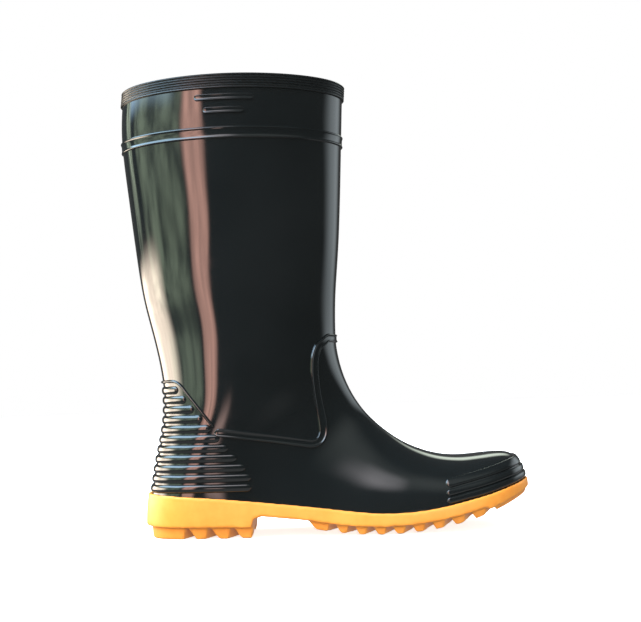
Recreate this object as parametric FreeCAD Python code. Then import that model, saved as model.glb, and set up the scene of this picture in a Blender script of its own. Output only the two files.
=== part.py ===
"""Right-foot firefighter's rubber boot, knee length, toe along +X, sole on Z = 0, millimetres."""
import FreeCAD
import Part
import math
import os

from FreeCAD import Vector

# overall sizes
boot_height = 361.0
sole_length = 310.0

# wall, from the outside in
upper_wall = 2.4
felt_wall = 2.0
lining_wall = 0.9
rim_lip = 5.0
lasting_margin = 15.0

# layers under the foot, from the outsole's floor up
recess_depth = 6.0
filler_height = 2.6
plate_thickness = 0.8
board_thickness = 2.0
foam_thickness = 5.0
cover_thickness = 1.0
footbed_clearance = 0.3

# outsole
sole_edge = 3.0
lug_inset = 5.0
rocker_radius = 265.0
rocker_x = 40.0
fore_lug_depth = 6.5
fore_groove_count = 9
fore_groove_first = -2.3
fore_groove_pitch = 15.3
fore_groove_top = 4.0
fore_groove_slopes = (3.4, 6.2)
fore_half_width = 50.0
heel_lug_depth = 8.5
heel_groove_count = 3
heel_groove_first = -113.6
heel_groove_pitch = 18.4
heel_groove_top = 3.0
heel_groove_slopes = (2.5, 8.5)
heel_half_width = 35.0
heel_breast_x = -62.0
waist_inset = 10.0
toe_plate_x = 119.0
toe_plate_drop = 3.0
chevron_sweep = 0.35

# inner parts
cap_length = 56.0
cap_flange = 6.0
cap_strip_width = 6.0
shank_length = 104.0
shank_width = 15.0
shank_thickness = 1.2
shank_offset = -2.5
core_inset = 13.0
core_floor = 13.0
core_back_x = -126.0
core_length = 52.0

# raised strips on the upper
top_band_height = 11.5
top_band_proud = 1.2
top_ridge_count = 8
top_ridge_depth = 0.5
top_ridge_share = 0.55
calf_band_drop = 50.5
calf_band_height = 8.7
calf_band_proud = 1.1
bar_proud = 1.5
bar_height = 4.8
grip_bars = [("upper", -95.5, -48.6, 18.4), ("lower", -88.6, -56.3, 28.6)]
ankle_band_width = 6.4
ankle_band_proud = 1.3
rib_proud = 1.6
heel_rib_count = 11
heel_rib_pitch = 7.75
heel_rib_width = 5.6
heel_rib_first = 39.4
heel_rib_end = -64.5
rib_slant_drop = 73.65
rib_slant = 0.84
border_width = 2.4
toe_rib_start = 89.0
toe_rib_levels = [0.4, 6.3, 12.3, 20.5]
toe_rib_gap = 1.2

# sizes that the profile below is drawn at
drawn_length = 310.0
drawn_height = 361.0
ankle_z = 158.0

instep_x = 110.0
instep_radius = 101.2
toe_pivot_z = -70.0
toe_reach = 44.0
toe_tip_x = 159.5

# working sizes, larger than the boot wherever a cut has to run past it
side_reach = 130.0
far_x = 400.0
headroom = 60.0
past = 1.0
section_points = 28
rocker_step = 8.0
smallest_solid = 0.5


def at(x, z):
    """Place a drawn point at the boot's own length and height."""
    if z > ankle_z:
        z = ankle_z + (z - ankle_z) * (boot_height - ankle_z) / (drawn_height - ankle_z)
    return Vector(x * sole_length / drawn_length, 0, z)


# shaft: height, back x, front x, half width
shaft_stations = [
    (368.0, -157.9, 22.8, 57.0),
    (344.0, -160.0, 20.6, 56.6),
    (318.0, -160.3, 19.2, 55.9),
    (275.0, -156.0, 17.2, 53.4),
    (230.0, -151.5, 14.3, 50.2),
    (190.0, -146.6, 10.2, 47.0),
    (158.0, -138.9, 8.8, 44.6),
]

# ankle and foot, planes that turn about the instep's centre:
# angle, back or underside x, z, half width, side offset, place of the widest point, squareness below, above
foot_stations = [
    (8, -132.4, 124.0, 43.0, 0.0, 0.50, 2.1, 2.05),
    (15, -132.4, 93.0, 41.6, 0.0, 0.47, 2.2, 2.1),
    (21, -139.4, 62.3, 40.2, 0.0, 0.42, 2.35, 2.1),
    (26, -144.2, 34.0, 39.2, 0.0, 0.38, 2.45, 2.1),
    (30, -146.0, 10.2, 38.8, -0.5, 0.38, 2.5, 2.1),
    (34, -141.0, -11.3, 38.6, -1.0, 0.40, 2.7, 2.05),
    (39, -114.7, -24.0, 38.4, -2.0, 0.42, 2.9, 2.0),
    (46, -67.7, -26.0, 38.6, -3.5, 0.45, 3.0, 2.0),
    (54, -23.7, -26.0, 41.0, -4.0, 0.48, 3.0, 2.0),
    (63, 16.3, -26.0, 46.5, -3.0, 0.49, 3.0, 2.1),
    (72, 50.2, -26.0, 50.8, -1.0, 0.50, 3.0, 2.2),
    (81, 80.9, -26.0, 52.2, 1.0, 0.50, 3.0, 2.3),
    (90, 110.0, -26.0, 51.0, 3.0, 0.50, 3.0, 2.4),
]

# toe, planes that turn about a point far below it: angle, reach to the front, half width, side offset
toe_stations = [
    (8, 129.5, 48.6, 5.0),
    (15, 133.0, 42.8, 6.5),
    (19, 130.4, 37.4, 7.0),
    (23, 121.6, 30.4, 7.0),
    (27, 109.8, 24.5, 7.0),
    (32, 95.0, 20.0, 7.0),
    (38, 80.0, 16.0, 7.0),
]

# edge where the upper meets the outsole, seen from the side
feather_line = [
    (-175, 37.6), (-122, 34.1), (-84, 31.0), (-46, 26.7), (-9, 22.2), (28, 17.6), (47, 16.6),
    (66, 17.6), (85, 20.0), (103, 23.6), (123, 28.0), (141, 32.8), (178, 43.4),
]


def stations():
    """List every section as back point, front point, half width, offset, widest place and squareness."""
    rows = []
    for z, back, front, half in shaft_stations:
        rows.append((at(back, z), at(front, z), half, 0.0, 0.5, 1.9, 1.9))
    for angle, x, z, half, offset, widest, low, high in foot_stations:
        turn = math.radians(angle)
        front_x = instep_x - instep_radius * math.cos(turn)
        front_z = ankle_z - instep_radius * math.sin(turn)
        rows.append((at(x, z), at(front_x, front_z), half, offset, widest, low, high))
    for angle, reach, half, offset in toe_stations:
        turn = math.radians(angle)
        ends = []
        for r in (toe_reach, reach):
            ends.append(at(instep_x + r * math.sin(turn), toe_pivot_z + r * math.cos(turn)))
        rows.append((ends[0], ends[1], half, offset, 0.5, 2.6, 2.5))
    return rows


def section(row, inset):
    """Closed smooth curve of one section, moved inwards by the inset."""
    back, front, half, offset, widest, low, high = row
    along = (front - back).normalize()
    start = back + along * inset
    length = (front - back).Length - 2 * inset
    half = half - inset
    points = []
    for i in range(section_points):
        turn = 2 * math.pi * i / section_points
        c = -math.cos(turn)
        s = math.sin(turn)
        power = 2 / (low if c < 0 else high)
        span = widest if c < 0 else 1 - widest
        reach = length * (widest + math.copysign(abs(c) ** power, c) * span)
        side = half * math.copysign(abs(s) ** power, s)
        points.append(start + along * reach + Vector(0, offset + side, 0))
    curve = Part.BSplineCurve()
    knots = [i / section_points for i in range(section_points + 1)]
    curve.interpolate(Points=points, PeriodicFlag=True, Parameters=knots)
    return curve


def skin(inset):
    """Solid of the whole boot's form at one depth below its outer face."""
    rows = stations()
    curves = [section(row, inset) for row in rows]
    lengths = [0.0]
    for a, b in zip(rows, rows[1:]):
        lengths.append(lengths[-1] + ((b[0] - a[0]).Length + (b[1] - a[1]).Length) / 2)
    spans = [value / lengths[-1] for value in lengths]
    poles = []
    for column in zip(*[curve.getPoles() for curve in curves]):
        along = Part.BSplineCurve()
        along.interpolate(Points=list(column), Parameters=spans)
        poles.append(along.getPoles())
    around = curves[0]
    surface = Part.BSplineSurface()
    surface.buildFromPolesMultsKnots(
        poles, around.getMultiplicities(), along.getMultiplicities(), around.getKnots(), along.getKnots(),
        True, False, around.Degree, along.Degree,
    )
    side = surface.toShape()
    ends = [edge for edge in side.Edges if edge.isClosed()]
    faces = [side] + [Part.Face(Part.Wire([edge])) for edge in ends]
    shell = Part.makeShell(faces)
    shell.sewShape()
    solid = Part.makeSolid(shell)
    if solid.Volume < 0:
        solid.reverse()
    return solid


def spline(points):
    curve = Part.BSplineCurve()
    curve.interpolate(points)
    return curve.toShape()


def prism(edges):
    """Solid across the boot whose side view is the outline of these edges."""
    face = Part.Face(Part.Wire(Part.sortEdges(edges)[0]))
    face.translate(Vector(0, -side_reach, 0))
    return face.extrude(Vector(0, 2 * side_reach, 0))


def outline(points):
    """Straight-sided prism across the boot."""
    ends = points[1:] + points[:1]
    return prism([Part.LineSegment(a, b).toShape() for a, b in zip(points, ends)])


def feather(rise):
    return [at(x, z) + Vector(0, 0, rise) for x, z in feather_line]


def above(rise, top):
    """Everything from the feather line, raised by this much, up to a height."""
    low = feather(rise)
    corners = [Vector(low[-1].x, 0, top), Vector(low[0].x, 0, top)]
    edges = [spline(low)]
    for a, b in ((low[-1], corners[0]), (corners[0], corners[1]), (corners[1], low[0])):
        edges.append(Part.LineSegment(a, b).toShape())
    return prism(edges)


def layer(rise, thickness):
    """Everything between two copies of the feather line."""
    low = feather(rise)
    high = feather(rise + thickness)
    edges = [spline(low), spline(high)]
    edges.append(Part.LineSegment(low[0], high[0]).toShape())
    edges.append(Part.LineSegment(low[-1], high[-1]).toShape())
    return prism(edges)


def slab(low, high):
    """Everything between two heights."""
    return Part.makeBox(2 * far_x, 2 * side_reach, high - low, Vector(-far_x, -side_reach, low))


def wall_block(x0, x1):
    """Everything between two places along the boot."""
    return Part.makeBox(x1 - x0, 2 * side_reach, 2 * far_x, Vector(x0, -side_reach, -far_x / 2))


def ribbon(points, width):
    """Prism of a strip of even width that follows a smooth path."""
    path = Part.BSplineCurve()
    path.interpolate(points)
    count = 4 * len(points)
    sides = ([], [])
    for i in range(count + 1):
        u = path.FirstParameter + (path.LastParameter - path.FirstParameter) * i / count
        tangent = path.tangent(u)[0]
        normal = Vector(-tangent.z, 0, tangent.x) * (width / 2)
        sides[0].append(path.value(u) + normal)
        sides[1].append(path.value(u) - normal)
    edges = [spline(sides[0]), spline(sides[1])]
    edges.append(Part.LineSegment(sides[0][0], sides[1][0]).toShape())
    edges.append(Part.LineSegment(sides[0][-1], sides[1][-1]).toShape())
    return prism(edges)


def pill(x0, x1, z, height, y0, y1):
    """Bar with round ends, across the boot from y0 to y1."""
    r = height / 2
    bar = Part.makeBox(x1 - x0 - height, y1 - y0, height, Vector(x0 + r, y0, z - r))
    for x in (x0 + r, x1 - r):
        bar = bar.fuse(Part.makeCylinder(r, y1 - y0, Vector(x, y0, z), Vector(0, 1, 0)))
    return bar.removeSplitter()


def rocker(x, rise):
    """Point of the tread's curved running line."""
    return at(x, (x - rocker_x) ** 2 / (2 * rocker_radius) + rise)


os.makedirs("parts", exist_ok=True)


def keep(name, shape):
    solids = [s for s in shape.Solids if s.Volume > smallest_solid]
    made = solids[0] if len(solids) == 1 else Part.makeCompound(solids)
    made.exportStep("parts/" + name + ".step")
    print(name, len(solids), "solids", round(made.Volume / 1000, 2), "cm3", made.isValid())


outer = skin(0.0)
felt_face = skin(upper_wall)
lining_face = skin(upper_wall + felt_wall)
inner_face = skin(upper_wall + felt_wall + lining_wall)
margin_face = skin(lasting_margin)

floor = -recess_depth
plate_bottom = floor + filler_height
board_bottom = plate_bottom + plate_thickness
lining_bottom = board_bottom + board_thickness
foam_bottom = lining_bottom + lining_wall
rim = boot_height - rim_lip
over = boot_height + headroom

# upper: one rubber shell, its lower edge turned in under the foot
body = outer.common(above(floor, boot_height))
shell = body.cut(felt_face.common(above(plate_bottom, rim)))
shell = shell.cut(inner_face.common(slab(rim - past, over)))
shell = shell.cut(margin_face.common(layer(floor - past, filler_height + 2 * past)))
keep("upper_shell", shell)

# under the foot
filler = margin_face.common(layer(floor, filler_height))
shank_x = at(heel_breast_x, 0).x - shank_length / 2
shank_corner = Vector(shank_x, shank_offset - shank_width / 2, -far_x / 2)
shank_box = Part.makeBox(shank_length, shank_width, far_x, shank_corner)
shank = shank_box.common(layer(floor + (filler_height - shank_thickness) / 2, shank_thickness))
keep("bottom_filler", filler.cut(shank))
keep("shank", shank)
keep("penetration_plate", felt_face.common(layer(plate_bottom, plate_thickness)))

cap_x = at(toe_tip_x, 0).x - cap_length
strip_x = cap_x - cap_strip_width
board = felt_face.common(layer(board_bottom, board_thickness))
flange_space = wall_block(cap_x, far_x).cut(skin(upper_wall + cap_flange))
flange = board.common(flange_space)
keep("insole_board", board.cut(flange_space))

# layer between the rubber and the lining: felt, steel cap, its edge strip and the heel stiffener
between = felt_face.common(above(lining_bottom, rim)).cut(lining_face)
cap = between.common(wall_block(cap_x, far_x)).fuse(flange)
strip = between.common(wall_block(strip_x, cap_x))
counter_side = [at(-200, -20), at(-58, -20), at(-70, 60), at(-96, 88), at(-118, 100), at(-200, 104)]
counter_block = outline(counter_side)
counter = between.common(counter_block)
felt = between.cut(wall_block(strip_x, far_x)).cut(counter_block)
keep("toe_cap", cap)
keep("cap_edge_strip", strip)
keep("heel_stiffener", counter)
keep("felt_layer", felt)

lining = lining_face.common(above(lining_bottom, rim)).cut(inner_face.common(above(foam_bottom, over)))
keep("lining_sock", lining)

bed_face = skin(upper_wall + felt_wall + lining_wall + footbed_clearance)
keep("footbed_foam", bed_face.common(layer(foam_bottom, foam_thickness)))
keep("footbed_cover", bed_face.common(layer(foam_bottom + foam_thickness, cover_thickness)))


def tread_solid(face_solid, low_points, rise):
    """Solid between a lower edge made of these points and the feather line."""
    high = feather(rise)
    corners = [high[0]] + low_points + [high[-1]]
    edges = [spline(high)]
    for a, b in zip(corners, corners[1:]):
        edges.append(Part.LineSegment(a, b).toShape())
    return face_solid.common(prism(edges))


def rocker_points(x0, x1, rise):
    count = int((x1 - x0) / rocker_step)
    return [rocker(x0 + (x1 - x0) * i / count, rise) for i in range(count + 1)]


# outsole: side wall down to the lugs' roots, then the block of lugs, then the waist set further in
sole_face = skin(-sole_edge)
lug_face = skin(-sole_edge + lug_inset)
waist_face = skin(-sole_edge + waist_inset)
breast = [at(heel_breast_x, 0), at(heel_breast_x + 1.5, 15.0), at(heel_breast_x + 8, 16.8)]
wall_low = [at(-175, heel_lug_depth + 2.0), at(heel_breast_x, heel_lug_depth)] + breast[1:] + [at(-17, 12.6)]
wall_low += rocker_points(-8, toe_plate_x, fore_lug_depth)
wall_low += rocker_points(toe_plate_x + 4, 178, fore_lug_depth - toe_plate_drop)
lug_low = [at(-175, 0)] + breast + [at(-19, 13.4)] + rocker_points(-12, 178, 0.0)
waist_low = [at(-175, 0), at(heel_breast_x, 0), at(heel_breast_x + 1.5, 8.0), at(heel_breast_x + 12, 9.4)]
waist_low += [at(-17, 6.6), at(-8, 5.4), at(0, 12), at(178, 42)]
wall = tread_solid(sole_face, wall_low, 0.0)
lugs = tread_solid(lug_face, lug_low, floor - past)
waist = tread_solid(waist_face, waist_low, floor - past)


def groove(x, root, top_width, depth, slopes, half_width):
    """Tapered groove across the tread, swept back from the middle to this place at the foot's edge."""
    middle = at(x, 0).x + half_width * chevron_sweep
    low = root - depth - 4 * past
    corners = [Vector(middle - top_width / 2, 0, root), Vector(middle + top_width / 2, 0, root)]
    corners.append(Vector(middle + top_width / 2 + slopes[1], 0, low))
    corners.append(Vector(middle - top_width / 2 - slopes[0], 0, low))
    face = Part.Face(Part.makePolygon(corners + corners[:1]))
    arms = [face.extrude(Vector(-side_reach * chevron_sweep, side * side_reach, 0)) for side in (-1, 1)]
    return arms[0].fuse(arms[1])


grooves = []
for i in range(fore_groove_count):
    x = fore_groove_first + fore_groove_pitch * i
    root = rocker(x, fore_lug_depth).z
    grooves.append(groove(x, root, fore_groove_top, fore_lug_depth, fore_groove_slopes, fore_half_width))
for i in range(heel_groove_count):
    x = heel_groove_first + heel_groove_pitch * i
    depth = heel_lug_depth
    grooves.append(groove(x, depth, heel_groove_top, depth, heel_groove_slopes, heel_half_width))
for cut in grooves:
    lugs = lugs.cut(cut)
    waist = waist.cut(cut)
outsole = wall.fuse(lugs).fuse(waist).cut(body)
core_corner = Vector(at(core_back_x, 0).x, -side_reach, core_floor)
core_box = Part.makeBox(core_length, 2 * side_reach, far_x, core_corner)
core = skin(core_inset).common(core_box).cut(above(floor, over))
outsole = outsole.cut(core).removeSplitter()
keep("outsole", outsole)
keep("heel_core", core)


# raised strips on the outer face
def raised(region, proud):
    return skin(-proud).common(region).cut(outer)


band_low = boot_height - top_band_height
ridge_pitch = top_band_height / top_ridge_count
band = raised(slab(band_low, boot_height), top_band_proud - top_ridge_depth)
ridge_face = skin(-top_band_proud)
for i in range(top_ridge_count):
    low = band_low + ridge_pitch * i
    band = band.fuse(ridge_face.common(slab(low, low + ridge_pitch * top_ridge_share)).cut(outer))
keep("top_band", band.removeSplitter())

calf_low = boot_height - calf_band_drop
keep("calf_band", raised(slab(calf_low, calf_low + calf_band_height), calf_band_proud))

for level, x0, x1, drop in grip_bars:
    bar = pill(at(x0, 0).x, at(x1, 0).x, boot_height - drop, bar_height, -side_reach, 0)
    keep("grip_bar_" + level, raised(bar, bar_proud))

ankle_path = [
    (60, 155.5), (30, 155.2), (9, 154.4), (1, 152.2), (-5.5, 147.5), (-8.6, 138.5), (-9.3, 127),
    (-8.2, 112), (-5.8, 97), (-4.0, 85.5), (-4.2, 78), (-7.2, 73), (-13, 71.2), (-22, 72.7),
    (-46, 76.9), (-75, 81.3), (-89.4, 82.8),
]
band = ribbon([at(x, z) for x, z in ankle_path], ankle_band_width)
ankle = raised(band, ankle_band_proud)
keep("ankle_band", ankle)

# heel: a fine border over eleven ribs that wrap round the back
rib_top = heel_rib_first + heel_rib_pitch * heel_rib_count - 1.0
border_path = [at(-200, rib_top), at(-135, rib_top), at(-119, rib_top - 0.6), at(-109, rib_top - 11)]
border_path += [at(-100, rib_top - 23), at(-93.8, rib_top - 31.5)]
border = raised(ribbon(border_path, border_width), rib_proud)
keep("heel_border", border.cut(skin(-ankle_band_proud).common(band)))

rib_bars = []
for i in range(heel_rib_count):
    z = heel_rib_first + heel_rib_pitch * i
    end = heel_rib_end - max(0.0, z - rib_top + rib_slant_drop) * rib_slant
    rib_bars.append(pill(-far_x, at(end, 0).x, z, heel_rib_width, -side_reach, side_reach))
ribs = skin(-rib_proud).common(Part.makeCompound(rib_bars)).cut(outer)
keep("heel_ribs", ribs.common(above(toe_rib_levels[0], over)))

toe_ribs = []
for low, high in zip(toe_rib_levels, toe_rib_levels[1:]):
    toe_ribs.append(layer(low, high - low - toe_rib_gap).common(wall_block(at(toe_rib_start, 0).x, far_x)))
keep("toe_ribs", skin(-rib_proud).common(Part.makeCompound(toe_ribs)).cut(outer))
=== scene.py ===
import bpy
import bmesh
import math
from mathutils import Matrix, Vector, noise
from mathutils.bvhtree import BVHTree


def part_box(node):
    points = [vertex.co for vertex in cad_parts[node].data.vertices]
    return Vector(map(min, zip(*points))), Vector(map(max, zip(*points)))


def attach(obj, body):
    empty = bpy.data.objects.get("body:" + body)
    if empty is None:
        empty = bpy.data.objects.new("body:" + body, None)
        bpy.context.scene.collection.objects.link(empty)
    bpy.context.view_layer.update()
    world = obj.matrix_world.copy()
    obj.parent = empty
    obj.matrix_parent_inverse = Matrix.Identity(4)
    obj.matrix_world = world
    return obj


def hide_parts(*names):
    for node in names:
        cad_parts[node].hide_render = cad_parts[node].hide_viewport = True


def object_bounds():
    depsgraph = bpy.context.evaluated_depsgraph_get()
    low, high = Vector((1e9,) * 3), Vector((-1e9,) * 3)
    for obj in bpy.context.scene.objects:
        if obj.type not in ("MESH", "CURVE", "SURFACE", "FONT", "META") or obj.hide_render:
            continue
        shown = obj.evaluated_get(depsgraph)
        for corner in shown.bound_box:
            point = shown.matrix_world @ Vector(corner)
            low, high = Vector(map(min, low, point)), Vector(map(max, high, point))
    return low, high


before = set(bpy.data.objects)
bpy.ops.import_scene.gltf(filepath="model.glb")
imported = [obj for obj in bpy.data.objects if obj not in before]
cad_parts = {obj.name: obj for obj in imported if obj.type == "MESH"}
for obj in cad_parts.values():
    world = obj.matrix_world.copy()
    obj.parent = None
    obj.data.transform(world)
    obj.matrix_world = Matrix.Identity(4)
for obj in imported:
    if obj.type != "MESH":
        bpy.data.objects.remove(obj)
cadLow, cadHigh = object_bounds()
mm = 0.001

# the boot's drawn form in millimetres, toe towards +X, stretched to the frame's own height and sole
soleLow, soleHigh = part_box("outsole")
bootForm = {
    "height": cadHigh.z / mm,
    "length": (soleHigh.x - soleLow.x) / mm,
    "drawnHeight": 361.0,
    "drawnLength": 309.69,
    "ankleZ": 158.0,
    "instepX": 110.0,
    "instepRadius": 101.2,
    "toePivotZ": -70.0,
    "toeReach": 44.0,
    "shaftSquareness": 1.9,
    "toeSquareness": (2.6, 2.5),
    "waviness": 0.42,  # how far the rubber strays from its true form
    "legX": -68.0,  # middle of the leg
    "heelX": -92.0,  # middle of the heel's curve
    "ballX": 84.0,  # middle of the toe's curve
}

# height, back x, front x, half width
shaftRows = [
    (361.0, -158.4, 22.0, 56.9), (344.0, -160.0, 20.6, 56.6), (318.0, -160.3, 19.2, 55.9),
    (275.0, -156.0, 17.2, 53.4), (230.0, -151.5, 14.3, 50.2), (190.0, -146.6, 10.2, 47.0),
    (158.0, -138.9, 8.8, 44.6),
]
# angle of the plane, back or underside x and z, half width, side offset, widest place,
# squareness low and high
footRows = [
    (8, -132.4, 124.0, 43.0, 0.0, 0.50, 2.1, 2.05), (15, -132.4, 93.0, 41.6, 0.0, 0.47, 2.2, 2.1),
    (21, -139.4, 62.3, 40.2, 0.0, 0.42, 2.35, 2.1), (26, -144.2, 34.0, 39.2, 0.0, 0.38, 2.45, 2.1),
    (30, -146.0, 10.2, 38.8, -0.5, 0.38, 2.5, 2.1), (34, -141.0, -11.3, 38.6, -1.0, 0.40, 2.7, 2.05),
    (39, -114.7, -24.0, 38.4, -2.0, 0.42, 2.9, 2.0), (46, -67.7, -26.0, 38.6, -3.5, 0.45, 3.0, 2.0),
    (54, -23.7, -26.0, 41.0, -4.0, 0.48, 3.0, 2.0), (63, 16.3, -26.0, 46.5, -3.0, 0.49, 3.0, 2.1),
    (72, 50.2, -26.0, 50.8, -1.0, 0.50, 3.0, 2.2), (81, 80.9, -26.0, 52.2, 1.0, 0.50, 3.0, 2.3),
    (90, 110.0, -26.0, 51.0, 3.0, 0.50, 3.0, 2.4),
]
# angle of the plane, reach to the front, half width, side offset
toeRows = [
    (8, 129.5, 48.6, 5.0), (15, 133.0, 42.8, 6.5), (19, 130.4, 37.4, 7.0), (23, 121.6, 30.4, 7.0),
    (27, 109.8, 24.5, 7.0), (32, 95.0, 20.0, 7.0), (38, 80.0, 16.0, 7.0),
]
# the edge between upper and sole, from heel to toe
featherLine = [
    (-175, 37.6), (-122, 34.1), (-84, 31.0), (-46, 26.7), (-9, 22.2), (28, 17.6), (47, 16.6),
    (66, 17.6), (85, 20.0), (103, 23.6), (123, 28.0), (141, 32.8), (178, 43.4),
]


def place(x, z):  # a drawn point at the boot's own size
    ankle = bootForm["ankleZ"]
    if z > ankle:
        z = ankle + (z - ankle) * (bootForm["height"] - ankle) / (bootForm["drawnHeight"] - ankle)
    return Vector((x * bootForm["length"] / bootForm["drawnLength"], 0, z))


def formRows():  # back point, front point, half width, side offset, widest place, squareness low and high
    made = []
    square = bootForm["shaftSquareness"]
    for z, back, front, half in shaftRows:
        made.append([place(back, z), place(front, z), half, 0.0, 0.5, square, square])
    instep, reach = bootForm["instepX"], bootForm["instepRadius"]
    for angle, x, z, half, offset, widest, low, high in footRows:
        turn = math.radians(angle)
        front = place(instep - reach * math.cos(turn), bootForm["ankleZ"] - reach * math.sin(turn))
        made.append([place(x, z), front, half, offset, widest, low, high])
    for angle, toeFront, half, offset in toeRows:
        turn = math.radians(angle)
        ends = []
        for r in (bootForm["toeReach"], toeFront):
            ends.append(place(instep + r * math.sin(turn), bootForm["toePivotZ"] + r * math.cos(turn)))
        made.append([ends[0], ends[1], half, offset, 0.5, *bootForm["toeSquareness"]])
    return made


rows = formRows()


def smoothBetween(four, f):  # a curve through the middle two of four values or points
    weights = (
        -0.5 * f + f * f - 0.5 * f ** 3, 1 - 2.5 * f * f + 1.5 * f ** 3,
        0.5 * f + 2 * f * f - 1.5 * f ** 3, -0.5 * f * f + 0.5 * f ** 3,
    )
    total = four[0] * weights[0]
    for value, weight in zip(four[1:], weights[1:]):
        total = total + value * weight
    return total


def fourAround(items, i):
    return [items[max(0, min(len(items) - 1, i + k))] for k in (-1, 0, 1, 2)]


def rowAt(t):
    i = max(0, min(len(rows) - 2, int(math.floor(t))))
    return [smoothBetween(values, t - i) for values in zip(*fourAround(rows, i))]


def formPoint(t, turn, inset):  # t runs from the rim to the toe, turn goes round from the back
    back, front, half, offset, widest, low, high = rowAt(t)
    along = (front - back).normalized()
    length = (front - back).length - 2 * inset
    c, s = -math.cos(turn), math.sin(turn)
    power = 2 / (low if c < 0 else high)
    span = widest if c < 0 else 1 - widest
    reach = length * (widest + math.copysign(abs(c) ** power, c) * span)
    side = (half - inset) * math.copysign(abs(s) ** power, s)
    return back + along * (inset + reach) + Vector((0, offset + side, 0))


def outward(t, turn):
    a = formPoint(t, turn + 0.01, 0) - formPoint(t, turn - 0.01, 0)
    b = formPoint(t + 0.02, turn, 0) - formPoint(t - 0.02, turn, 0)
    normal = a.cross(b)
    if normal.length < 1e-9:
        return Vector((0, 0, 0))
    normal.normalize()
    middle = (rowAt(t)[0] + rowAt(t)[1]) / 2
    return normal if normal.dot(formPoint(t, turn, 0) - middle) > 0 else -normal


def featherZ(x):  # height of the edge between upper and sole
    x = x * bootForm["drawnLength"] / bootForm["length"]
    for i in range(len(featherLine) - 1):
        if x <= featherLine[i + 1][0]:
            break
    before, low, high, after = fourAround(featherLine, i)
    step = high[0] - low[0]
    f = (x - low[0]) / step
    slopeLow = (high[1] - before[1]) / (high[0] - before[0]) * step
    slopeHigh = (after[1] - low[1]) / (after[0] - low[0]) * step
    return (
        (2 * f ** 3 - 3 * f * f + 1) * low[1] + (f ** 3 - 2 * f * f + f) * slopeLow
        + (3 * f * f - 2 * f ** 3) * high[1] + (f ** 3 - f * f) * slopeHigh
    )


# mesh helpers
def finishPiece(name, bm, material, replaced, levels=0, turnOut=True):
    if turnOut:
        bmesh.ops.recalc_face_normals(bm, faces=bm.faces)
    mesh = bpy.data.meshes.new(name)
    bm.to_mesh(mesh)
    bm.free()
    for polygon in mesh.polygons:
        polygon.use_smooth = True
    piece = bpy.data.objects.new(name, mesh)
    bpy.context.scene.collection.objects.link(piece)
    mesh.materials.append(material)
    if levels:
        soft = piece.modifiers.new("soft", "SUBSURF")
        soft.levels = levels
        soft.render_levels = levels
    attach(piece, "root")
    if replaced:
        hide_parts(*replaced)
    return piece


def mappedGrid(across, along, where, closed=False):  # a grid bent so that each vertex lands at where(i, j)
    bm = bmesh.new()
    bmesh.ops.create_grid(bm, x_segments=across, y_segments=along, size=1.0)
    for v in bm.verts:
        i = round((v.co.x + 1) / 2 * across)
        j = round((v.co.y + 1) / 2 * along)
        v.co = where(i, j) * mm
    if closed:
        bmesh.ops.remove_doubles(bm, verts=bm.verts, dist=1e-6)
    return bm


def treeOf(piece):
    bpy.context.view_layer.update()
    return BVHTree.FromObject(piece, bpy.context.evaluated_depsgraph_get())


# material helpers
def newMaterial(name):
    material = bpy.data.materials.new(name)
    material.use_nodes = True
    nodes = material.node_tree.nodes
    return material, nodes, material.node_tree.links, nodes["Principled BSDF"]


def objectCoords(nodes, links, scale=(1, 1, 1)):
    coords = nodes.new("ShaderNodeTexCoord")
    mapping = nodes.new("ShaderNodeMapping")
    mapping.inputs["Scale"].default_value = scale
    links.new(coords.outputs["Object"], mapping.inputs["Vector"])
    return mapping.outputs["Vector"]


def noiseAt(nodes, links, vector, scale, detail=2.0, rough=0.5):
    tex = nodes.new("ShaderNodeTexNoise")
    tex.inputs["Scale"].default_value = scale
    tex.inputs["Detail"].default_value = detail
    tex.inputs["Roughness"].default_value = rough
    links.new(vector, tex.inputs["Vector"])
    return tex.outputs["Fac"]


def ramp(nodes, links, source, stops):
    node = nodes.new("ShaderNodeValToRGB")
    for element, (spot, colour) in zip(node.color_ramp.elements, stops):
        element.position = spot
        element.color = (*colour, 1)
    links.new(source, node.inputs["Fac"])
    return node.outputs["Color"]


def bumpFrom(nodes, links, source, strength, distance, below=None):
    bump = nodes.new("ShaderNodeBump")
    bump.inputs["Strength"].default_value = strength
    bump.inputs["Distance"].default_value = distance
    links.new(source, bump.inputs["Height"])
    if below is not None:
        links.new(below, bump.inputs["Normal"])
    return bump.outputs["Normal"]


def ranged(nodes, links, source, low, high, toLow=0.0, toHigh=1.0, kind="LINEAR"):
    node = nodes.new("ShaderNodeMapRange")
    node.interpolation_type = kind
    for socket, value in (("From Min", low), ("From Max", high), ("To Min", toLow), ("To Max", toHigh)):
        node.inputs[socket].default_value = value
    links.new(source, node.inputs["Value"])
    return node.outputs["Result"]


def mathOf(nodes, links, kind, *parts):  # one Math node, fed by sockets or plain numbers
    node = nodes.new("ShaderNodeMath")
    node.operation = kind
    for socket, part in zip(node.inputs, parts):
        if isinstance(part, bpy.types.NodeSocket):
            links.new(part, socket)
        else:
            socket.default_value = part
    return node.outputs["Value"]


glossLook = {
    "dark": (0.0035, 0.0055, 0.0058), "light": (0.006, 0.0085, 0.009), "mottle": 9,
    "roughness": 0.07, "wear": 0.09, "wearScale": 26, "ior": 1.53,
    "coat": 0.35, "coatRoughness": 0.03, "bandRoughness": 0.30, "bandCoat": 0.0,
    "rippleScale": 22, "ripple": 0.35, "rippleDepth": 0.0012, "rippleStretch": 0.45,
    "peelScale": 420, "peel": 0.012, "peelDepth": 0.0002,
}


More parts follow.
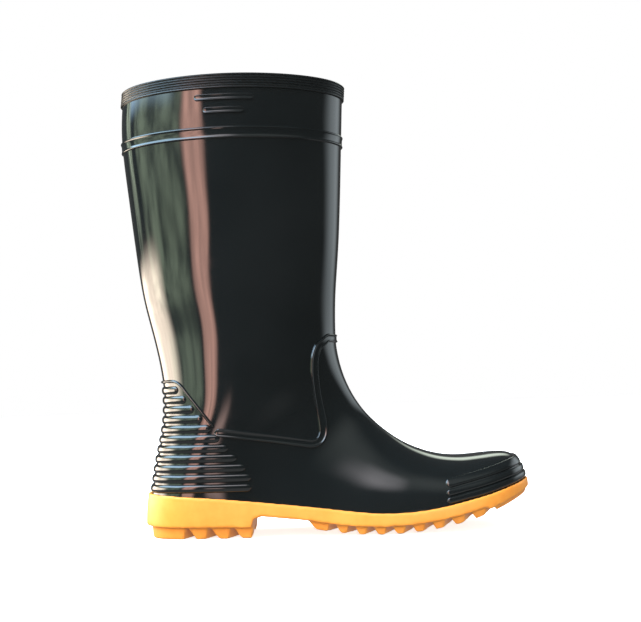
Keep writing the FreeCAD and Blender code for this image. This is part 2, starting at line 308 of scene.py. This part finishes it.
def blackRubber(name, roughness, coat):
    material, nodes, links, shader = newMaterial(name)
    look = glossLook
    vector = objectCoords(nodes, links)
    mottle = noiseAt(nodes, links, vector, look["mottle"], 3)
    colour = ramp(nodes, links, mottle, [(0.35, look["dark"]), (0.65, look["light"])])
    links.new(colour, shader.inputs["Base Color"])
    scuffs = noiseAt(nodes, links, vector, look["wearScale"], 5, 0.65)
    worn = ranged(nodes, links, scuffs, 0.45, 0.8, roughness, roughness + look["wear"])
    links.new(worn, shader.inputs["Roughness"])
    shader.inputs["IOR"].default_value = look["ior"]
    shader.inputs["Coat Weight"].default_value = coat
    shader.inputs["Coat Roughness"].default_value = look["coatRoughness"]
    tall = objectCoords(nodes, links, (1, 1, look["rippleStretch"]))
    ripples = noiseAt(nodes, links, tall, look["rippleScale"], 1)
    ripple = bumpFrom(nodes, links, ripples, look["ripple"], look["rippleDepth"])
    peel = noiseAt(nodes, links, vector, look["peelScale"], 2)
    skin = bumpFrom(nodes, links, peel, look["peel"], look["peelDepth"], ripple)
    links.new(skin, shader.inputs["Normal"])
    return material


soleLook = {
    "light": (0.98, 0.405, 0.060), "dark": (0.95, 0.335, 0.036), "mottle": 60,
    "roughness": 0.42, "ior": 1.5, "grainScale": 900, "grain": 0.18, "grainDepth": 0.0002,
}


def soleRubber():
    material, nodes, links, shader = newMaterial("soleRubber")
    vector = objectCoords(nodes, links)
    mottle = noiseAt(nodes, links, vector, soleLook["mottle"], 6, 0.7)
    colour = ramp(nodes, links, mottle, [(0.3, soleLook["dark"]), (0.7, soleLook["light"])])
    links.new(colour, shader.inputs["Base Color"])
    shader.inputs["Roughness"].default_value = soleLook["roughness"]
    shader.inputs["IOR"].default_value = soleLook["ior"]
    grain = noiseAt(nodes, links, vector, soleLook["grainScale"], 3, 0.6)
    relief = bumpFrom(nodes, links, grain, soleLook["grain"], soleLook["grainDepth"])
    links.new(relief, shader.inputs["Normal"])
    return material


knitLook = {
    "lining": (0.55, 0.51, 0.42), "liningCourses": 2200.0,
    "footbed": (0.16, 0.16, 0.18), "footbedCourses": 3000.0,
    "shade": 0.55, "distortion": 2.5, "roughness": 0.95, "sheen": 0.3, "relief": 0.6, "reliefDepth": 0.0004,
}


def knitCloth(name, base, courses):
    material, nodes, links, shader = newMaterial(name)
    course = nodes.new("ShaderNodeTexWave")
    course.wave_type = "BANDS"
    course.bands_direction = "Z"
    course.inputs["Scale"].default_value = courses / 6.2
    course.inputs["Distortion"].default_value = knitLook["distortion"]
    course.inputs["Detail"].default_value = 2
    course.inputs["Detail Scale"].default_value = 3
    links.new(objectCoords(nodes, links), course.inputs["Vector"])
    darker = tuple(c * knitLook["shade"] for c in base)
    colour = ramp(nodes, links, course.outputs["Fac"], [(0.1, darker), (0.8, base)])
    links.new(colour, shader.inputs["Base Color"])
    shader.inputs["Roughness"].default_value = knitLook["roughness"]
    shader.inputs["Sheen Weight"].default_value = knitLook["sheen"]
    relief = bumpFrom(nodes, links, course.outputs["Fac"], knitLook["relief"], knitLook["reliefDepth"])
    links.new(relief, shader.inputs["Normal"])
    return material


gloss = blackRubber("glossRubber", glossLook["roughness"], glossLook["coat"])
satin = blackRubber("satinRubber", glossLook["bandRoughness"], glossLook["bandCoat"])
sole = soleRubber()
knit = knitCloth("knitLining", knitLook["lining"], knitLook["liningCourses"])
coverCloth = knitCloth("footbedCloth", knitLook["footbed"], knitLook["footbedCourses"])
print("materials ready")

upperSkin = {
    "around": 64, "outerSteps": 2, "wall": 2.6, "intoSole": 4.5, "rimWall": 5.3, "rimRound": 1.3,
    "lipDrops": (12.0, 7.5), "rimDrops": (5.2, 3.5), "belowRim": 0.2,
    "swayScale": 0.018, "sway": 1.6, "fine": 0.9,
}


def wavy(point, normalOut, t):
    p = point * upperSkin["swayScale"]
    steady = min(1.0, 0.15 + t * 0.4)  # the rim is stiff and keeps its form
    sway = noise.noise(Vector((p.x, p.y, p.z * 0.45)))
    fine = noise.noise(Vector((p.x * 2.7 + 5, p.y * 2.7, p.z * 1.1)))
    shift = (sway * upperSkin["sway"] + fine * upperSkin["fine"]) * bootForm["waviness"] * steady
    return point + normalOut * shift


def makeUpper():  # one closed shell: up the inside, over the rim and down the outside
    top, last = bootForm["height"], len(rows) - 1
    wall, rimWall, rimRound = upperSkin["wall"], upperSkin["rimWall"], upperSkin["rimRound"]
    rim = [(wall, drop) for drop in upperSkin["lipDrops"]]
    rim += [(rimWall, drop) for drop in upperSkin["rimDrops"]]
    rim += [(rimWall, rimRound), (rimWall - rimRound, 0.0), (rimWall / 2, 0.0)]
    rim += [(rimRound, 0.0), (0.0, rimRound)]

    def where(i, j):
        turn = 2 * math.pi * i / upperSkin["around"]
        if j < last:
            p = formPoint(last - j, turn, wall)
            floor = featherZ(p.x) - upperSkin["intoSole"] + wall
        elif j < last + len(rim):
            inset, drop = rim[j - last]
            p = formPoint(0, turn, inset)
            return Vector((p.x, p.y, top - drop))
        else:
            k = j - last - len(rim)
            t = k / upperSkin["outerSteps"] + upperSkin["belowRim"] * (k == 0)
            p = wavy(formPoint(t, turn, 0), outward(t, turn), t)
            floor = featherZ(p.x) - upperSkin["intoSole"]
        p.z = max(p.z, floor)
        return p

    along = last + len(rim) + last * upperSkin["outerSteps"]
    bm = mappedGrid(upperSkin["around"], along, where, closed=True)
    ends = [e for e in bm.edges if e.is_boundary]
    bmesh.ops.holes_fill(bm, edges=ends, sides=0)
    return finishPiece("upperSkin", bm, gloss, ["upper_shell"], levels=2)


upper = makeUpper()
skinTree = treeOf(upper)
print("upper skin made")

liningSkin = {
    "around": 48, "steps": 2, "inset": 5.35, "thick": 0.8, "topDrop": 4.6, "hem": 1.2,
    "overSole": 0.4, "lastRow": 19,
}


def makeLining():  # a closed sock: down the face next to the felt, then up the face inside
    spans = liningSkin["lastRow"] * liningSkin["steps"]

    def where(i, j):
        turn = 2 * math.pi * i / liningSkin["around"]
        facesFoot = j > spans
        t = (2 * spans + 1 - j if facesFoot else j) / liningSkin["steps"]
        p = formPoint(t, turn, liningSkin["inset"] - (liningSkin["thick"] if facesFoot else 0))
        if t == 0:
            p.z = bootForm["height"] - liningSkin["topDrop"] - (liningSkin["hem"] if facesFoot else 0)
        floor = featherZ(p.x) + liningSkin["overSole"] - (liningSkin["thick"] if facesFoot else 0)
        p.z = max(p.z, floor)
        return p

    bm = mappedGrid(liningSkin["around"], 2 * spans + 1, where, closed=True)
    return finishPiece("liningSock", bm, knit, ["lining_sock"], levels=1)


lining = makeLining()
print("lining made")


# strips that follow the skin
def smoothPath(points, count, closed=False):  # evenly spaced points on a curve through the given ones
    pts = [Vector(p) for p in points]
    n, steps = len(pts), 12
    fine = []
    for i in range(n if closed else n - 1):
        four = [pts[(i + k) % n] for k in (-1, 0, 1, 2)] if closed else fourAround(pts, i)
        for step in range(steps):
            fine.append(smoothBetween(four, step / steps))
    fine.append(pts[0] if closed else pts[-1])
    lengths = [0.0]
    for a, b in zip(fine, fine[1:]):
        lengths.append(lengths[-1] + (b - a).length)
    made = []
    k = 0
    for i in range(count + 1):
        want = lengths[-1] * i / count
        while k < len(lengths) - 2 and lengths[k + 1] < want:
            k += 1
        f = (want - lengths[k]) / max(1e-9, lengths[k + 1] - lengths[k])
        made.append(fine[k].lerp(fine[k + 1], f))
    return made, lengths[-1]


def onSkin(point):
    spot, normal, _, _ = skinTree.find_nearest(point * mm)
    return spot / mm, normal


def strip(name, points, profile, spacing, replaced, closed=False, endLength=None):
    count = max(6, round(smoothPath(points, 8, closed)[1] / spacing))
    path, length = smoothPath(points, count, closed)
    reach = endLength or max(abs(across) for across, _ in profile)
    placed = [onSkin(p) for p in path]
    tangents = []
    for i in range(count + 1):
        if closed:
            a, b = placed[(i - 1) % count][0], placed[(i + 1) % count][0]
        else:
            a, b = placed[max(0, i - 1)][0], placed[min(count, i + 1)][0]
        tangents.append((b - a).normalized())

    def where(i, j):
        k = j % count if closed else j
        spot, normal = placed[k]
        side = normal.cross(tangents[k]).normalized()
        across, rise = profile[i]
        taper = 1.0
        if not closed:  # the ends are rounded off
            near = min(length * j / count, length * (count - j) / count)
            taper = math.sqrt(max(0.0, 1 - (1 - min(1.0, near / reach)) ** 2))
        base, up = onSkin(spot + side * across * max(taper, 0.02))
        lift = rise * taper ** 0.7 if rise > 0 else rise
        if taper == 0:
            lift = min(rise, 0) - 0.2
        return base + up * lift

    bm = mappedGrid(len(profile) - 1, count, where, closed=closed)
    return finishPiece(name, bm, gloss, replaced, levels=1)


# points round the boot, counted from the front
def ringAt(heightAt, count, centreX, start=0.0, turnBy=2 * math.pi):
    made = []
    for i in range(count):
        turn = start + turnBy * i / count
        out = Vector((math.cos(turn), math.sin(turn), 0))
        height = heightAt(centreX)
        for _ in range(4):  # settles where the height changes with x
            begin = (Vector((centreX, 0, height)) + out * 400) * mm
            spot, _, _, _ = skinTree.ray_cast(begin, -out)
            if spot is None:
                break
            height = heightAt(spot.x / mm)
        if spot is not None:
            made.append(spot / mm)
    return made


def sideSpot(x, z, side=-1):
    p = place(x, z)
    spot, _, _, _ = skinTree.ray_cast(Vector((p.x, side * 200, p.z)) * mm, Vector((0, -side, 0)))
    return spot / mm


def beaded(look):  # flat strip with a fine round bead along each edge
    half, rise, bead, beadRise = look["width"] / 2, look["proud"], look["bead"], look["beadRise"]
    side = [(-half - 0.5, -0.4), (-half, 0.1)]
    for across, share, lift in ((0.08, 0.8, 0), (0.3, 1, 0.85), (0.55, 1, 1), (0.85, 1, 0.6), (1.15, 1, 0)):
        side.append((-half + bead * across, rise * share + beadRise * lift))
    return side + [(0, rise)] + [(-a, b) for a, b in side[::-1]]


def halfRound(half, rise, steps=6):
    made = [(-half - 0.3, -0.5)]
    for i in range(steps + 1):
        turn = math.pi * i / steps
        made.append((-half * math.cos(turn), rise * math.sin(turn)))
    return made + [(half + 0.3, -0.5)]


topBand = {
    "height": 11.5, "ridges": 5, "proud": 1.35, "valley": 0.45, "lip": 1.5, "around": 96,
    "offSkin": 0.15, "underRim": 0.2,
}


def makeTopBand():
    top, low = bootForm["height"], -topBand["height"]
    valley, proud, lip = topBand["valley"], topBand["proud"], topBand["lip"]
    pitch = (topBand["height"] - lip) / topBand["ridges"]
    profile = [(0.3, -0.8), (0.1, valley)]
    for k in range(topBand["ridges"]):
        for share, lift in ((0.12, valley), (0.38, proud), (0.62, proud), (0.88, valley)):
            profile.append((-(k + share) * pitch, lift))
    profile += [(low + lip * 0.85, proud), (low + 0.35, proud), (low, 0.5), (low - 0.1, -0.5)]
    count = topBand["around"]

    def where(i, j):
        drop, rise = profile[i]
        turn = 2 * math.pi * (j % count) / count
        t = -drop / (shaftRows[0][0] - shaftRows[1][0])
        spot, out = formPoint(t, turn, 0), outward(max(t, 0.05), turn)
        level = Vector((out.x, out.y, 0)).normalized()
        height = top + drop - topBand["underRim"]
        return Vector((spot.x, spot.y, height)) + level * (rise + topBand["offSkin"])

    bm = mappedGrid(len(profile) - 1, count, where, closed=True)
    return finishPiece("topBand", bm, satin, ["top_band"], levels=2)


makeTopBand()

calfBand = {
    "drop": 50.5, "width": 9.2, "proud": 0.75, "bead": 1.9, "beadRise": 0.6,
    "around": 40, "spacing": 3.0,
}


def makeCalfBand():
    z = bootForm["height"] - calfBand["drop"] + calfBand["width"] / 2
    ring = ringAt(lambda x: z, calfBand["around"], bootForm["legX"])
    return strip("calfBand", ring, beaded(calfBand), calfBand["spacing"], ["calf_band"], closed=True)


makeCalfBand()

gripBars = {
    "upper": (-95.5, -48.6, 18.4), "lower": (-88.6, -56.3, 28.6),  # back x, front x, drop from the rim
    "width": 5.0, "proud": 1.0, "bead": 1.3, "beadRise": 0.55, "spacing": 0.8,
}


def makeGripBar(which, node):
    back, front, drop = gripBars[which]
    points = [sideSpot(back + (front - back) * i / 5, bootForm["height"] - drop) for i in range(6)]
    return strip("gripBar" + which.capitalize(), points, beaded(gripBars), gripBars["spacing"], [node])


makeGripBar("upper", "grip_bar_upper")
makeGripBar("lower", "grip_bar_lower")
print("bands and bars made")

ankleBand = {
    "width": 6.8, "proud": 0.8, "bead": 1.7, "beadRise": 0.6, "spacing": 2.2,
    "side": [
        (-89.4, 82.8), (-75, 81.3), (-46, 76.9), (-22, 72.7), (-13, 71.2), (-7.2, 73), (-4.2, 78),
        (-4.0, 85.5), (-5.8, 97), (-8.2, 112), (-9.3, 127), (-8.6, 138.5), (-5.5, 147.5), (-0.5, 152.0),
    ],
    "frontZ": 154.6, "frontX": -30, "frontSpread": 76,
}


def makeAnkleBand():
    near = [sideSpot(x, z, -1) for x, z in ankleBand["side"]]
    far = [sideSpot(x, z, 1) for x, z in ankleBand["side"]]
    front = []
    for i in range(1, 8):
        turn = math.radians(ankleBand["frontSpread"] * (i / 8 - 0.5))
        out = Vector((math.cos(turn), math.sin(turn), 0))
        begin = (Vector((ankleBand["frontX"], 0, ankleBand["frontZ"])) + out * 300) * mm
        spot, _, _, _ = skinTree.ray_cast(begin, -out)
        front.append(spot / mm)
    points = near + front + far[::-1]
    return strip("ankleBand", points, beaded(ankleBand), ankleBand["spacing"], ["ankle_band"])


makeAnkleBand()

heelRibs = {
    "count": 11, "first": 39.4, "pitch": 7.75, "half": 3.3, "proud": 1.75, "spacing": 1.6,
    "end": -60.8, "slantDrop": 73.65, "slant": 0.84, "clearOfEnd": 3.5, "around": 120,
}
heelTop = heelRibs["first"] + heelRibs["pitch"] * heelRibs["count"]


def aroundHeel(z, endX):  # from the inner side, round the back, to the outer side
    ring = ringAt(lambda x: z, heelRibs["around"], bootForm["heelX"])
    ring = [p for p in ring if p.x < place(endX - heelRibs["clearOfEnd"], 0).x]
    return [sideSpot(endX, z, 1)] + ring[::3] + [sideSpot(endX, z, -1)]


def makeHeelRibs():
    profile = halfRound(heelRibs["half"], heelRibs["proud"])
    for k in range(heelRibs["count"]):
        z = heelRibs["first"] + heelRibs["pitch"] * k
        shorter = max(0.0, z - heelTop + 1.0 + heelRibs["slantDrop"]) * heelRibs["slant"]
        points = aroundHeel(z, heelRibs["end"] - shorter)
        strip("heelRib%02d" % (k + 1), points, profile, heelRibs["spacing"], [])
    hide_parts("heel_ribs")


makeHeelRibs()

heelBorder = {
    "half": 1.25, "proud": 1.8, "spacing": 1.5, "backEnd": -124, "underTop": 0.6,
    # x and drop from the border's top
    "side": [(-88.5, 37.6), (-92.6, 32.6), (-100, 23), (-109, 11.5), (-115.5, 3.2), (-120.5, 0.3)],
}


def makeBorder():
    top = heelTop - heelBorder["underTop"]
    ring = ringAt(lambda x: top, heelRibs["around"], bootForm["heelX"])
    back = [p for p in ring if p.x < place(heelBorder["backEnd"], 0).x]
    near = [sideSpot(x, top - drop, -1) for x, drop in heelBorder["side"]]
    far = [sideSpot(x, top - drop, 1) for x, drop in heelBorder["side"]]
    profile = halfRound(heelBorder["half"], heelBorder["proud"], 4)
    return strip("heelBorder", far + back[::3] + near[::-1], profile, heelBorder["spacing"], ["heel_border"])


makeBorder()
print("heel relief made")

toeRibs = {
    "start": 89.0, "proud": 1.6, "spacing": 1.8, "endLength": 2.5, "clearOfStart": 4, "around": 160,
    "bands": [(0.4, 6.3), (6.3, 12.3), (12.3, 20.5)],  # low and high edge above the sole
}


def toeProfile(half, rise):  # a step with a rounded edge
    return [
        (-half - 0.1, -0.4), (-half + 0.3, 0.3), (-half + 0.9, rise * 0.7), (-half + 1.8, rise * 0.95),
        (0, rise), (half - 1.8, rise * 1.05), (half - 0.9, rise), (half - 0.25, rise * 0.45), (half, -0.4),
    ]


def makeToeRibs():
    start = toeRibs["start"]
    for k, (low, high) in enumerate(toeRibs["bands"]):
        middle, half = (low + high) / 2, (high - low) / 2
        count, ball = toeRibs["around"], bootForm["ballX"]
        ring = ringAt(lambda x: featherZ(x) + middle, count, ball, -math.pi / 2, math.pi)
        ring = [p for p in ring if p.x > place(start + toeRibs["clearOfStart"], 0).x]
        ends = [sideSpot(start, featherZ(place(start, 0).x) + middle, side) for side in (-1, 1)]
        points = [ends[0]] + ring[::3] + [ends[1]]
        profile = toeProfile(half, toeRibs["proud"])
        name, spacing, endLength = "toeRib%d" % (k + 1), toeRibs["spacing"], toeRibs["endLength"]
        strip(name, points, profile, spacing, [], endLength=endLength)
    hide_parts("toe_ribs")


makeToeRibs()
print("toe ribs made")

outsoleLook = {"voxel": 0.0011, "calm": 0.5, "calmRounds": 5}  # moulded corners are a little round


def makeOutsole():
    bm = bmesh.new()
    bm.from_mesh(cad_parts["outsole"].data)
    bmesh.ops.remove_doubles(bm, verts=bm.verts, dist=1e-6)
    piece = finishPiece("outsoleTread", bm, sole, ["outsole"], turnOut=False)
    remesh = piece.modifiers.new("moulded", "REMESH")
    remesh.mode = "VOXEL"
    remesh.voxel_size = outsoleLook["voxel"]
    remesh.use_smooth_shade = True
    calm = piece.modifiers.new("calm", "SMOOTH")
    calm.factor = outsoleLook["calm"]
    calm.iterations = outsoleLook["calmRounds"]
    bpy.context.view_layer.update()
    graph = bpy.context.evaluated_depsgraph_get()
    done = bpy.data.meshes.new_from_object(piece.evaluated_get(graph))
    piece.modifiers.clear()
    piece.data = done
    print("outsole faces", len(done.polygons))
    return piece


makeOutsole()

footbed = {
    "back": -136.0, "front": 150.0, "rise": 6.5, "thick": 5.7, "cup": 1.8, "foreCup": 0.4, "foreX": 40,
    "snug": 0.985, "edgeDrop": 0.6, "along": 60, "across": 14, "spareHalf": 20,
}
liningTree = treeOf(lining)


def footbedSide(x, z, side):  # y of the lining's wall at this place
    spot, _, _, _ = liningTree.ray_cast(Vector((x, 0, z)) * mm, Vector((0, side, 0)))
    return spot.y / mm if spot is not None else side * footbed["spareHalf"]


def makeFootbed():  # a moulded insole from heel to toe, cupped at its edge
    along, across = footbed["along"], footbed["across"]

    def where(i, j):
        share = 0.5 - 0.5 * math.cos(math.pi * j / along)
        x = footbed["back"] + (footbed["front"] - footbed["back"]) * share
        z = featherZ(x) + footbed["rise"]
        left, right = footbedSide(x, z, -1), footbedSide(x, z, 1)
        y = left + (right - left) * (0.5 - 0.5 * math.cos(math.pi * i / across))
        edge = abs(2 * i / across - 1)
        cup = footbed["cup"] * edge ** 4 * (1.0 if x < footbed["foreX"] else footbed["foreCup"])
        return Vector((x, y * footbed["snug"], z + cup - footbed["edgeDrop"] * (edge > 0.999)))

    bm = mappedGrid(across, along, where)
    piece = finishPiece("footbed", bm, coverCloth, ["footbed_cover", "footbed_foam"], levels=1)
    thick = piece.modifiers.new("thick", "SOLIDIFY")
    thick.thickness = footbed["thick"] * mm
    thick.offset = -1
    return piece


makeFootbed()
print("footbed made")

# hidden inner pieces keep their own shape: node, then material, colour, roughness and metallic
innerLooks = {
    "toe_cap": ("capSteel", (0.16, 0.17, 0.18), 0.45, 0.4),
    "cap_edge_strip": ("stripRubber", (0.03, 0.03, 0.03), 0.7, 0.0),
    "penetration_plate": ("plateSteel", (0.45, 0.46, 0.47), 0.35, 1.0),
    "shank": ("shankSteel", (0.4, 0.41, 0.42), 0.4, 1.0),
    "insole_board": ("fibreBoard", (0.45, 0.33, 0.2), 0.85, 0.0),
    "heel_core": ("cork", (0.36, 0.22, 0.11), 0.9, 0.0),
    "bottom_filler": ("corkFiller", (0.33, 0.2, 0.1), 0.9, 0.0),
    "heel_stiffener": ("stiffener", (0.2, 0.21, 0.22), 0.6, 0.0),
    "felt_layer": ("felt", (0.25, 0.25, 0.25), 1.0, 0.0),
}
innerGrain = {"scale": 300.0, "shade": 0.7, "strength": 0.2, "depth": 0.0003}


def plainStuff(name, base, roughness, metallic):
    material, nodes, links, shader = newMaterial(name)
    vector = objectCoords(nodes, links)
    darker = tuple(c * innerGrain["shade"] for c in base)
    mottle = noiseAt(nodes, links, vector, innerGrain["scale"], 4, 0.6)
    links.new(ramp(nodes, links, mottle, [(0.35, darker), (0.65, base)]), shader.inputs["Base Color"])
    shader.inputs["Roughness"].default_value = roughness
    shader.inputs["Metallic"].default_value = metallic
    grain = noiseAt(nodes, links, vector, innerGrain["scale"] * 2, 3)
    relief = bumpFrom(nodes, links, grain, innerGrain["strength"], innerGrain["depth"])
    links.new(relief, shader.inputs["Normal"])
    return material


for node, look in innerLooks.items():
    stuff = plainStuff(*look)
    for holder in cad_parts[node].material_slots:
        holder.material = stuff
print("inner pieces finished")

studio = {
    "floor": (0.95, 0.95, 0.95), "floorGlow": 0.74, "floorSize": 8.0, "groundGlow": 0.62,
    "groundReach": 0.5, "groundSize": 0.55, "worldSeen": 1.0, "worldGloss": 0.10, "worldFill": 0.27,
    "cameraSpot": (-5.0, -941.4, 112.0), "lens": 64.85, "sensor": 36, "rollDegrees": 2.02,
    "pitchDegrees": 2.4, "shift": 0.05,
}


def stagePlane(name, size, height, colour, glow):
    bm = bmesh.new()
    bmesh.ops.create_grid(bm, x_segments=2, y_segments=2, size=size)
    mesh = bpy.data.meshes.new(name)
    bm.to_mesh(mesh)
    bm.free()
    plane = bpy.data.objects.new(name, mesh)
    plane.location.z = height
    bpy.context.scene.collection.objects.link(plane)
    material, nodes, links, shader = newMaterial(name)
    shader.inputs["Base Color"].default_value = (*colour, 1)
    shader.inputs["Roughness"].default_value = 0.9
    shader.inputs["Specular IOR Level"].default_value = 0.1
    shader.inputs["Emission Color"].default_value = (1, 1, 1, 1)
    shader.inputs["Emission Strength"].default_value = glow
    mesh.materials.append(material)
    return plane, nodes, links, shader


def makeFloor():
    size, glow = studio["floorSize"], studio["floorGlow"]
    floor, _, _, _ = stagePlane("paleFloor", size, -0.0002, studio["floor"], glow)
    floor.visible_glossy = False
    floor.visible_diffuse = False


def makeGroundCard():  # only the gloss sees it, and it fades into the surroundings
    card, nodes, links, shader = stagePlane("groundCard", studio["groundSize"], -0.0001, (0, 0, 0), 0.0)
    fading = nodes.new("ShaderNodeTexGradient")
    fading.gradient_type = "SPHERICAL"
    reach = 1 / studio["groundReach"]
    links.new(objectCoords(nodes, links, (reach, reach, reach)), fading.inputs["Vector"])
    rise, base = studio["groundGlow"] - studio["worldGloss"], studio["worldGloss"]
    glow = mathOf(nodes, links, "MULTIPLY_ADD", fading.outputs["Fac"], rise, base)
    links.new(glow, shader.inputs["Emission Strength"])
    card.visible_camera = False
    card.visible_diffuse = False
    card.visible_shadow = False


def mixed(nodes, links, share, low, high):
    node = nodes.new("ShaderNodeMix")
    links.new(share, node.inputs["Factor"])
    for socket, value in (("A", low), ("B", high)):
        if isinstance(value, bpy.types.NodeSocket):
            links.new(value, node.inputs[socket])
        else:
            node.inputs[socket].default_value = value
    return node.outputs["Result"]


def makeWorld():  # white behind the boot, dim in its gloss
    world = bpy.data.worlds.new("studio")
    bpy.context.scene.world = world
    world.use_nodes = True
    nodes, links = world.node_tree.nodes, world.node_tree.links
    back = nodes["Background"]
    back.inputs["Color"].default_value = (1, 1, 1, 1)
    path = nodes.new("ShaderNodeLightPath")
    unseen = mixed(nodes, links, path.outputs["Is Glossy Ray"], studio["worldFill"], studio["worldGloss"])
    strength = mixed(nodes, links, path.outputs["Is Camera Ray"], unseen, studio["worldSeen"])
    links.new(strength, back.inputs["Strength"])


# each panel: place, what it faces, width and height, brightness of its face;
# a mirrored one has its colour, soft edge and blotches too
fillPanels = {
    "overhead": ((0.1, -0.3, 2.0), (0.0, 0, 0.0), (2.2, 2.0), 1.6),
    "backWash": ((0.0, 2.2, 2.4), (0.0, 1.6, 0.0), (5.0, 2.0), 3.0),
    "frontFill": ((0.5, -2.0, 0.5), (0.05, 0, 0.03), (1.8, 1.0), 2.5),
    "foreFill": ((0.24, -0.75, 0.12), (0.08, 0, 0.02), (0.5, 0.3), 3.2),
}
leg = (-0.068, 0, 0.2)
mirroredPanels = {
    "leftPanel": ((-1.15, -0.45, 0.44), leg, (1.3, 1.02), 2.1, (0.80, 1.0, 0.70), 0.12, 0.8),
    "leftStrip": ((-1.0, 0.35, 0.65), leg, (0.34, 1.1), 3.2, (0.84, 1.0, 0.74), 0.3, 0.9),
    "sandPanel": ((-0.62, 0.12, 0.11), (-0.1, 0, 0.15), (0.78, 0.28), 12.0, (1.0, 0.84, 0.68), 0.25, 0.3),
    "warmStrip": ((-0.70, -1.01, 0.42), leg, (0.38, 1.4), 7.6, (1.0, 0.55, 0.44), 0.24, 0.4),
    "warmLow": ((-0.175, -0.41, 0.035), (-0.08, 0, 0.07), (0.09, 0.12), 3.6, (1.0, 0.66, 0.58), 0.35, 0.0),
    "topPanel": ((0.35, -1.0, 1.2), (0.05, 0, 0.05), (2.6, 1.5), 0.42, (0.92, 1.0, 0.95), 0.5, 0.0),
    "ribPanel": ((-0.42, -0.85, 0.95), (-0.09, 0, 0.07), (1.1, 0.9), 4.2, (0.95, 0.90, 0.95), 0.4, 0.0),
    "skyPanel": ((-1.2, -0.25, 1.35), (-0.1, 0, 0.1), (2.3, 1.7), 8.5, (0.50, 0.75, 1.0), 0.2, 0.0),
    "rightPanel": ((1.1, 0.5, 0.45), (-0.02, 0, 0.2), (1.4, 1.3), 1.4, (0.84, 0.95, 1.0), 0.4, 0.0),
    "vampPanel": ((0.35, 1.5, 1.05), (0.08, 0, 0.05), (1.2, 0.6), 2.6, (0.90, 1.0, 0.86), 0.4, 0.0),
}


def softbox(name, spot, target, size, glow, colour=(1, 1, 1)):
    light = bpy.data.lights.new(name, "AREA")
    light.shape = "RECTANGLE"
    light.size, light.size_y = size
    light.energy = glow * size[0] * size[1] * math.pi
    light.color = colour
    holder = bpy.data.objects.new(name, light)
    holder.location = spot
    holder.rotation_euler = (Vector(target) - Vector(spot)).to_track_quat("-Z", "Y").to_euler()
    holder.visible_camera = False
    bpy.context.scene.collection.objects.link(holder)
    return holder


def fadeOut(light, edge, blotches):  # dims a panel towards its edges, and mottles it if asked
    light.use_nodes = True
    nodes, links = light.node_tree.nodes, light.node_tree.links
    face = nodes.new("ShaderNodeNewGeometry").outputs["Parametric"]
    parts = nodes.new("ShaderNodeSeparateXYZ")
    links.new(face, parts.inputs["Vector"])
    fades = []
    for axis in ("X", "Y"):
        fromMiddle = mathOf(nodes, links, "SUBTRACT", parts.outputs[axis], 0.5)
        away = mathOf(nodes, links, "ABSOLUTE", fromMiddle)
        fades.append(ranged(nodes, links, away, 0.5, 0.5 - edge, kind="SMOOTHSTEP"))
    level = mathOf(nodes, links, "MULTIPLY", *fades)
    if blotches:
        patches = ranged(nodes, links, noiseAt(nodes, links, face, 5.0, 4, 0.6), 0.38, 0.62, 1 - blotches)
        level = mathOf(nodes, links, "MULTIPLY", level, patches)
    links.new(level, nodes["Emission"].inputs["Strength"])


def makeLights():
    for name, settings in fillPanels.items():
        softbox(name, *settings).visible_glossy = False
    for name, (spot, target, size, glow, colour, edge, blotches) in mirroredPanels.items():
        fadeOut(softbox(name, spot, target, size, glow, colour).data, edge, blotches)


def makeCamera():
    data = bpy.data.cameras.new("studioCamera")
    data.lens = studio["lens"]
    data.sensor_width = studio["sensor"]
    data.shift_y = studio["shift"]
    camera = bpy.data.objects.new("studioCamera", data)
    camera.location = Vector(studio["cameraSpot"]) * mm
    pitch, roll = math.radians(studio["pitchDegrees"]), math.radians(studio["rollDegrees"])
    ahead = Vector((math.sin(roll) * math.sin(pitch), math.cos(pitch), math.cos(roll) * math.sin(pitch)))
    right = ahead.cross(Vector((math.sin(roll), 0, math.cos(roll)))).normalized()
    up = right.cross(ahead)
    camera.rotation_euler = Matrix((right, up, -ahead)).transposed().to_euler()
    bpy.context.scene.collection.objects.link(camera)
    bpy.context.scene.camera = camera


makeFloor()
makeGroundCard()
makeWorld()
makeLights()
makeCamera()
bpy.context.scene.view_settings.view_transform = "Standard"
print("studio ready")
